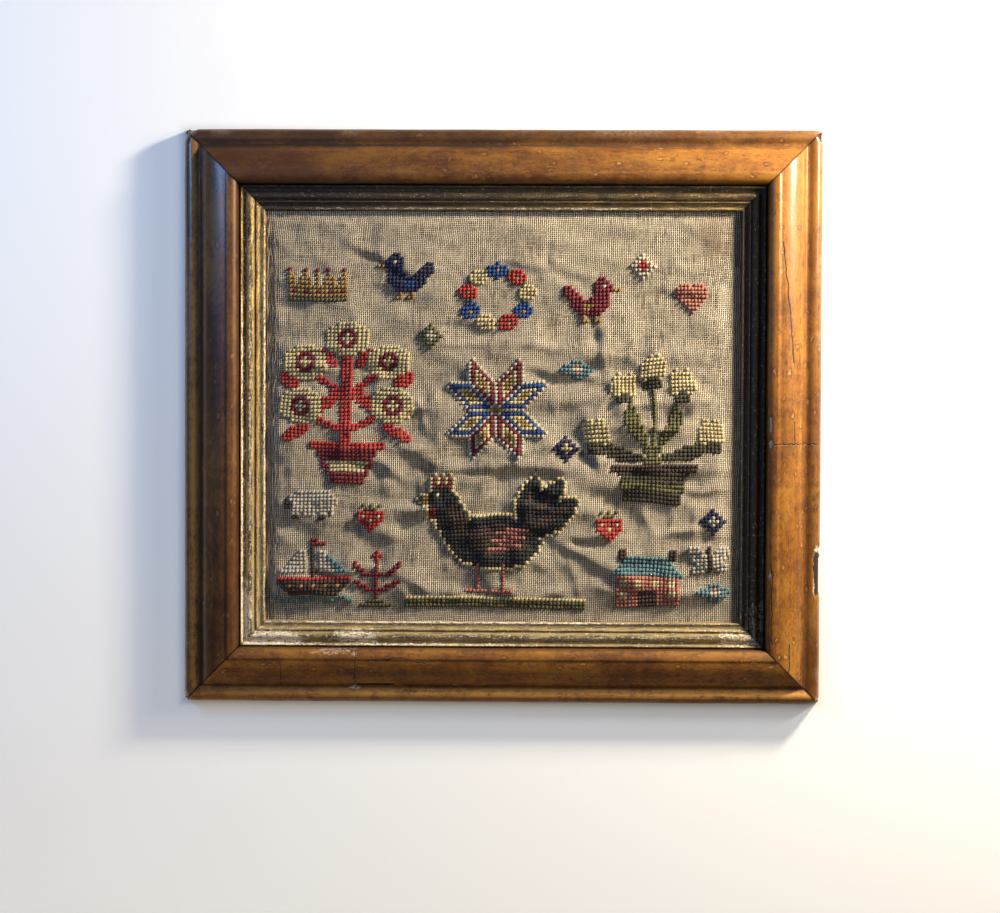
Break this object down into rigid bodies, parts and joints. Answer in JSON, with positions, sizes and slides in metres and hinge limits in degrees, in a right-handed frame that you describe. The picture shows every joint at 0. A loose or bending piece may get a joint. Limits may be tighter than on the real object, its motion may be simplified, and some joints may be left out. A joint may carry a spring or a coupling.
{
  "type": "framed cross stitch sampler",
  "caption": "A puckered canvas worked with wool cross stitch motifs, held behind a gilt slip in a mitred maple picture frame.",
  "frame": {"origin": "middle of the back of the frame, on the surface that it lies on", "axes": "+X to the picture's right, +Y to its top, +Z out of its face"},
  "size_m": [0.4, 0.36, 0.022],
  "materials": {
    "maple": "bird's eye maple veneer under old amber varnish, dark in the valley and worn at the edges",
    "gilt": "tarnished gilding worn through to brown bole and white gesso",
    "canvas": "aged open even weave worked in wool, with foxing stains",
    "pine": "bare aged pine"
  },
  "bodies": {
    "root": {"rail_bottom": "maple", "rail_right": "maple", "rail_top": "maple", "rail_left": "maple", "slip_bottom": "gilt", "slip_right": "gilt", "slip_top": "gilt", "slip_left": "gilt", "canvas": "canvas", "back_board": "pine"}
  },
  "joints": []
}
